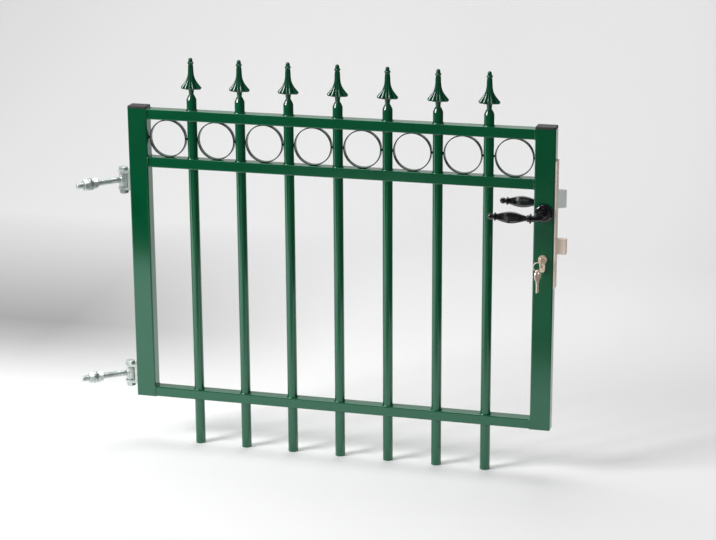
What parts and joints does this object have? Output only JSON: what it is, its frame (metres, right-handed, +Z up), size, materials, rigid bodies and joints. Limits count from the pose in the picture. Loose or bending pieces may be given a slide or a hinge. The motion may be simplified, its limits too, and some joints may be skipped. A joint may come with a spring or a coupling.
{
  "type": "ornamental fence gate",
  "caption": "Welded round-bar garden gate leaf with ring row and spear finials, eye-bolt hinges, lever lock and keys.",
  "frame": {"origin": "centre of the upper eye bolt's inner washer, on the face that bears on the gate post", "axes": "+X along the leaf from the hinge side to the lock side, +Y from the front through the leaf, +Z up"},
  "size_m": [0.9886, 0.1546, 0.8064],
  "materials": {
    "green_coat": "glossy powder coat",
    "cap_plastic": "moulded",
    "zinc_plate": "bright zinc plate",
    "lock_steel": "satin nickel plate",
    "nickel_brass": "nickel plate, warm",
    "black_coat": "black gloss coat"
  },
  "bodies": {
    "upper_bolt": {"upper_eye_bolt": "zinc_plate", "upper_post_nuts": "zinc_plate", "upper_post_washers": "zinc_plate"},
    "leaf": {"hinge_stile": "green_coat", "lock_stile": "green_coat", "top_rail": "green_coat", "middle_rail": "green_coat", "bottom_rail": "green_coat", "ring_row": "green_coat", "bar_1": "green_coat", "bar_2": "green_coat", "bar_3": "green_coat", "bar_4": "green_coat", "bar_5": "green_coat", "bar_6": "green_coat", "bar_7": "green_coat", "finial_1": "green_coat", "finial_2": "green_coat", "finial_3": "green_coat", "finial_4": "green_coat", "finial_5": "green_coat", "finial_6": "green_coat", "finial_7": "green_coat", "stile_caps": "cap_plastic", "upper_hinge_fork": "zinc_plate", "lower_hinge_fork": "zinc_plate", "upper_hinge_pin": "zinc_plate", "lower_hinge_pin": "zinc_plate", "pin_nuts": "zinc_plate", "lock_case": "lock_steel", "lock_faceplate": "lock_steel", "cylinder_body": "nickel_brass", "handle_roses": "black_coat"},
    "lower_bolt": {"lower_eye_bolt": "zinc_plate", "lower_post_nuts": "zinc_plate", "lower_post_washers": "zinc_plate"},
    "handles": {"front_lever": "black_coat", "rear_lever": "black_coat", "spindle": "lock_steel"},
    "latch": {"latch_bolt": "lock_steel"},
    "dead_bolt": {"deadbolt": "nickel_brass"},
    "key": {"key_plug": "nickel_brass", "door_key": "nickel_brass"},
    "spare_keys": {"key_ring": "nickel_brass", "spare_key": "nickel_brass"}
  },
  "joints": [
    {"name": "leaf_swing", "type": "hinge", "parent": "upper_bolt", "child": "leaf", "pos_m": [0.04822, 0.05547, 0], "axis": [0, 0, 1], "range_deg": [-40, 135]},
    {"name": "lower_bolt_swing", "type": "hinge", "parent": "leaf", "child": "lower_bolt", "pos_m": [0.04822, 0.05547, -0.4115], "axis": [0, 0, 1], "range_deg": [-125, 48]},
    {"name": "handle_turn", "type": "hinge", "parent": "leaf", "child": "handles", "pos_m": [0.90942, 0.05547, -0.013], "axis": [0, -1, 0], "range_deg": [0, 40], "stiffness_Nm_per_rad": 1.2, "springref_deg": -20.05},
    {"name": "latch_slide", "type": "slide", "parent": "leaf", "child": "latch", "axis": [-1, 0, 0], "range_m": [0, 0.0165]},
    {"name": "key_turn", "type": "hinge", "parent": "leaf", "child": "key", "pos_m": [0.90942, 0.05547, -0.105], "axis": [0, -1, 0], "range_deg": [0, 360]},
    {"name": "deadbolt_slide", "type": "slide", "parent": "leaf", "child": "dead_bolt", "axis": [-1, 0, 0], "range_m": [0, 0.0205]},
    {"name": "keyring_swing", "type": "hinge", "parent": "key", "child": "spare_keys", "pos_m": [0.90942, 0.01472, -0.1062], "axis": [1, 0, 0], "range_deg": [-60, 8]}
  ],
  "couplings": [
    {"joint": "latch_slide", "follows": "handle_turn", "m_per_rad": 0.022918},
    {"joint": "deadbolt_slide", "follows": "key_turn", "m_per_rad": 0.003183}
  ]
}
